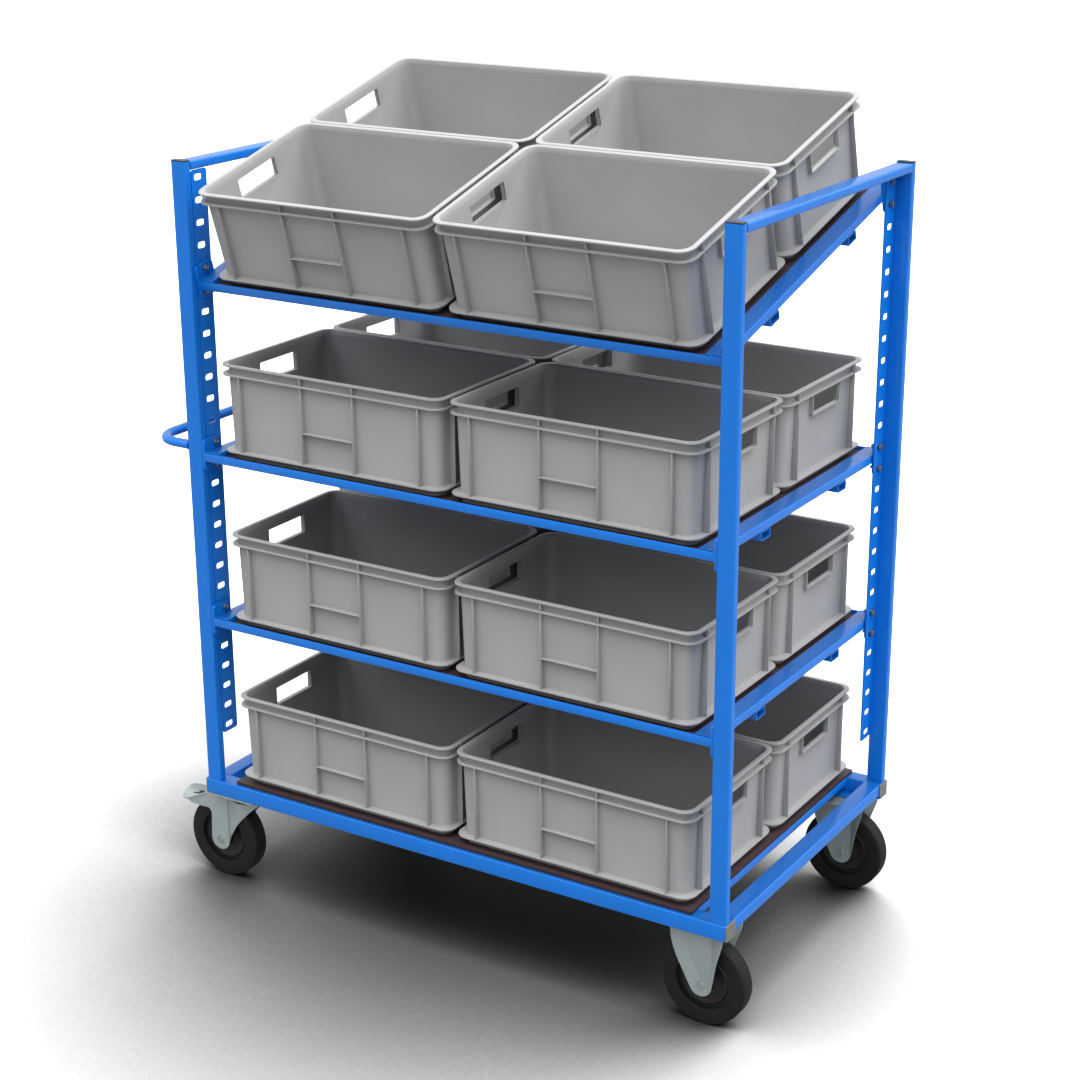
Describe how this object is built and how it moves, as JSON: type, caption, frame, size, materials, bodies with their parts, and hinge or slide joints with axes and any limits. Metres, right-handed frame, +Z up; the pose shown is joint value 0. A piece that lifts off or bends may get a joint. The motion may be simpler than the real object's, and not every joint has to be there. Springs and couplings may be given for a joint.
{
  "type": "order picking trolley",
  "caption": "Tall order picking trolley with slotted side frames, level and tilted shelves of stacking crates, a push handle and casters, two of them swivelling with brakes.",
  "frame": {"origin": "on the floor under the middle of the whole trolley's outline", "axes": "+Z up, -Y the picking side that the tilted top shelf faces, -X the push handle end with the swivel casters"},
  "size_m": [1.5536, 0.8596, 1.8985],
  "materials": {
    "blue_powder_coat": "smooth semi-gloss blue powder coat on steel",
    "brown_hardboard": "dark brown film-faced board, satin",
    "grey_plastic": "moulded grey crate plastic, satin",
    "cap_grey_plastic": "grey moulded end caps",
    "black_plastic": "black moulded tube caps",
    "zinc_plate": "bright zinc-plated pressed steel",
    "black_rubber": "black rubber tread on a black moulded hub"
  },
  "bodies": {
    "trolley": {"base_cross_member_centre": "blue_powder_coat", "base_cross_member_left": "blue_powder_coat", "base_cross_member_right": "blue_powder_coat", "base_end_tube_left": "blue_powder_coat", "base_end_tube_right": "blue_powder_coat", "base_front_rail": "blue_powder_coat", "base_panel": "brown_hardboard", "base_rear_rail": "blue_powder_coat", "fixed_bracket_front": "zinc_plate", "fixed_bracket_rear": "zinc_plate", "post_cap_front_left": "black_plastic", "post_cap_front_right": "black_plastic", "post_cap_rear_left": "black_plastic", "post_cap_rear_right": "black_plastic", "push_handle": "blue_powder_coat", "rail_cap_front_left": "cap_grey_plastic", "rail_cap_front_right": "cap_grey_plastic", "rail_cap_rear_left": "cap_grey_plastic", "rail_cap_rear_right": "cap_grey_plastic", "shelf_frame_lower": "blue_powder_coat", "shelf_frame_top": "blue_powder_coat", "shelf_frame_upper": "blue_powder_coat", "shelf_panel_lower": "brown_hardboard", "shelf_panel_top": "brown_hardboard", "shelf_panel_upper": "brown_hardboard", "side_frame_left": "blue_powder_coat", "side_frame_right": "blue_powder_coat", "slotted_strip_front_left": "blue_powder_coat", "slotted_strip_front_right": "blue_powder_coat", "slotted_strip_rear_left": "blue_powder_coat", "slotted_strip_rear_right": "blue_powder_coat", "swivel_head_front": "zinc_plate", "swivel_head_rear": "zinc_plate"},
    "swivel_front": {"swivel_fork_front": "zinc_plate"},
    "left_wheel_front": {"wheel_front_left": "black_rubber"},
    "right_wheel_front": {"wheel_front_right": "black_rubber"},
    "brake_front": {"brake_pedal_front": "zinc_plate"},
    "swivel_rear": {"swivel_fork_rear": "zinc_plate"},
    "left_wheel_rear": {"wheel_rear_left": "black_rubber"},
    "right_wheel_rear": {"wheel_rear_right": "black_rubber"},
    "brake_rear": {"brake_pedal_rear": "zinc_plate"},
    "crate_base_front_left_body": {"crate_base_front_left": "grey_plastic"},
    "crate_base_front_right_body": {"crate_base_front_right": "grey_plastic"},
    "crate_base_rear_left_body": {"crate_base_rear_left": "grey_plastic"},
    "crate_base_rear_right_body": {"crate_base_rear_right": "grey_plastic"},
    "crate_lower_front_left_body": {"crate_lower_front_left": "grey_plastic"},
    "crate_lower_front_right_body": {"crate_lower_front_right": "grey_plastic"},
    "crate_lower_rear_left_body": {"crate_lower_rear_left": "grey_plastic"},
    "crate_lower_rear_right_body": {"crate_lower_rear_right": "grey_plastic"},
    "crate_top_front_left_body": {"crate_top_front_left": "grey_plastic"},
    "crate_top_front_right_body": {"crate_top_front_right": "grey_plastic"},
    "crate_top_rear_left_body": {"crate_top_rear_left": "grey_plastic"},
    "crate_top_rear_right_body": {"crate_top_rear_right": "grey_plastic"},
    "crate_upper_front_left_body": {"crate_upper_front_left": "grey_plastic"},
    "crate_upper_front_right_body": {"crate_upper_front_right": "grey_plastic"},
    "crate_upper_rear_left_body": {"crate_upper_rear_left": "grey_plastic"},
    "crate_upper_rear_right_body": {"crate_upper_rear_right": "grey_plastic"}
  },
  "joints": [
    {"name": "swivel_turn_front", "type": "hinge", "parent": "trolley", "child": "swivel_front", "pos_m": [-0.5752, -0.34017, 0.21], "axis": [0, 0, 1], "continuous": true},
    {"name": "left_wheel_spin_front", "type": "hinge", "parent": "swivel_front", "child": "left_wheel_front", "pos_m": [-0.63819, -0.34017, 0.1], "axis": [0, 1, 0], "continuous": true},
    {"name": "right_wheel_spin_front", "type": "hinge", "parent": "trolley", "child": "right_wheel_front", "pos_m": [0.6768, -0.34017, 0.1], "axis": [0, 1, 0], "continuous": true},
    {"name": "brake_press_front", "type": "hinge", "parent": "swivel_front", "child": "brake_front", "pos_m": [-0.6882, -0.34017, 0.205], "axis": [0, -1, 0], "range_deg": [0, 12]},
    {"name": "swivel_turn_rear", "type": "hinge", "parent": "trolley", "child": "swivel_rear", "pos_m": [-0.5752, 0.36983, 0.21], "axis": [0, 0, 1], "continuous": true},
    {"name": "left_wheel_spin_rear", "type": "hinge", "parent": "swivel_rear", "child": "left_wheel_rear", "pos_m": [-0.63819, 0.36983, 0.1], "axis": [0, 1, 0], "continuous": true},
    {"name": "right_wheel_spin_rear", "type": "hinge", "parent": "trolley", "child": "right_wheel_rear", "pos_m": [0.6768, 0.36983, 0.1], "axis": [0, 1, 0], "continuous": true},
    {"name": "brake_press_rear", "type": "hinge", "parent": "swivel_rear", "child": "brake_rear", "pos_m": [-0.6882, 0.36983, 0.205], "axis": [0, -1, 0], "range_deg": [0, 12]},
    {"name": "crate_base_front_left_slide", "type": "slide", "parent": "trolley", "child": "crate_base_front_left_body", "axis": [0, -1, 0], "range_m": [0, 0.45]},
    {"name": "crate_base_front_right_slide", "type": "slide", "parent": "trolley", "child": "crate_base_front_right_body", "axis": [0, -1, 0], "range_m": [0, 0.45]},
    {"name": "crate_base_rear_left_slide", "type": "slide", "parent": "trolley", "child": "crate_base_rear_left_body", "axis": [0, 1, 0], "range_m": [0, 0.45]},
    {"name": "crate_base_rear_right_slide", "type": "slide", "parent": "trolley", "child": "crate_base_rear_right_body", "axis": [0, 1, 0], "range_m": [0, 0.45]},
    {"name": "crate_lower_front_left_lift", "type": "slide", "parent": "trolley", "child": "crate_lower_front_left_body", "axis": [0, 0, 1], "range_m": [0, 0.13]},
    {"name": "crate_lower_front_right_lift", "type": "slide", "parent": "trolley", "child": "crate_lower_front_right_body", "axis": [0, 0, 1], "range_m": [0, 0.13]},
    {"name": "crate_lower_rear_left_lift", "type": "slide", "parent": "trolley", "child": "crate_lower_rear_left_body", "axis": [0, 0, 1], "range_m": [0, 0.13]},
    {"name": "crate_lower_rear_right_lift", "type": "slide", "parent": "trolley", "child": "crate_lower_rear_right_body", "axis": [0, 0, 1], "range_m": [0, 0.13]},
    {"name": "crate_top_front_left_lift", "type": "slide", "parent": "trolley", "child": "crate_top_front_left_body", "axis": [0, -0.2655, 0.9641], "range_m": [0, 0.3]},
    {"name": "crate_top_front_right_lift", "type": "slide", "parent": "trolley", "child": "crate_top_front_right_body", "axis": [0, -0.2655, 0.9641], "range_m": [0, 0.3]},
    {"name": "crate_top_rear_left_lift", "type": "slide", "parent": "trolley", "child": "crate_top_rear_left_body", "axis": [0, -0.2655, 0.9641], "range_m": [0, 0.3]},
    {"name": "crate_top_rear_right_lift", "type": "slide", "parent": "trolley", "child": "crate_top_rear_right_body", "axis": [0, -0.2655, 0.9641], "range_m": [0, 0.3]},
    {"name": "crate_upper_front_left_lift", "type": "slide", "parent": "trolley", "child": "crate_upper_front_left_body", "axis": [0, 0, 1], "range_m": [0, 0.13]},
    {"name": "crate_upper_front_right_lift", "type": "slide", "parent": "trolley", "child": "crate_upper_front_right_body", "axis": [0, 0, 1], "range_m": [0, 0.13]},
    {"name": "crate_upper_rear_left_lift", "type": "slide", "parent": "trolley", "child": "crate_upper_rear_left_body", "axis": [0, 0, 1], "range_m": [0, 0.13]},
    {"name": "crate_upper_rear_right_lift", "type": "slide", "parent": "trolley", "child": "crate_upper_rear_right_body", "axis": [0, 0, 1], "range_m": [0, 0.13]}
  ]
}
